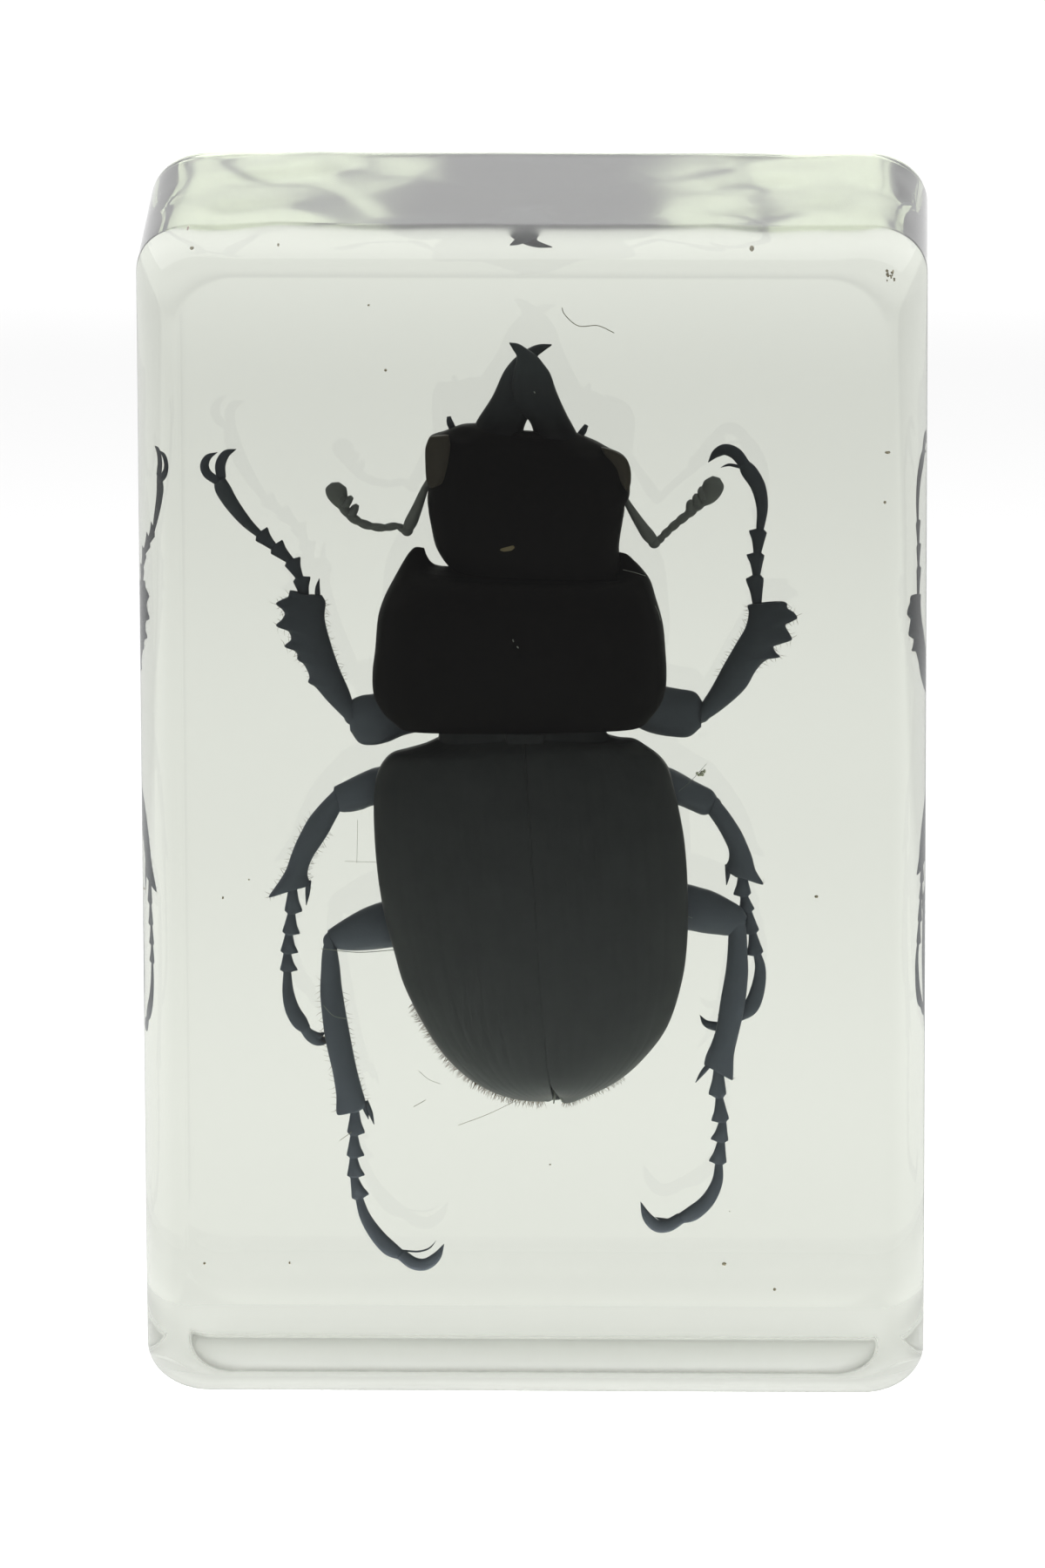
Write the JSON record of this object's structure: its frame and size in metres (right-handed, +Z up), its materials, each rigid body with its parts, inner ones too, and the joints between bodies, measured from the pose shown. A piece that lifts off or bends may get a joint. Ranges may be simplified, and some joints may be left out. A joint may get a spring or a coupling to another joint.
{
  "type": "insect in resin block",
  "caption": "Black stag beetle sealed in a clear upright resin block with rounded edges.",
  "frame": {"origin": "centre of the block's base, where it stands on the floor", "axes": "+Z up along the beetle towards its jaws, -Y out of the broad front face, +X to the right of someone facing the front"},
  "size_m": [0.0448, 0.0218, 0.0693],
  "materials": {
    "resin": "polished"
  },
  "bodies": {
    "root": {"resin_block": "resin"}
  },
  "joints": []
}
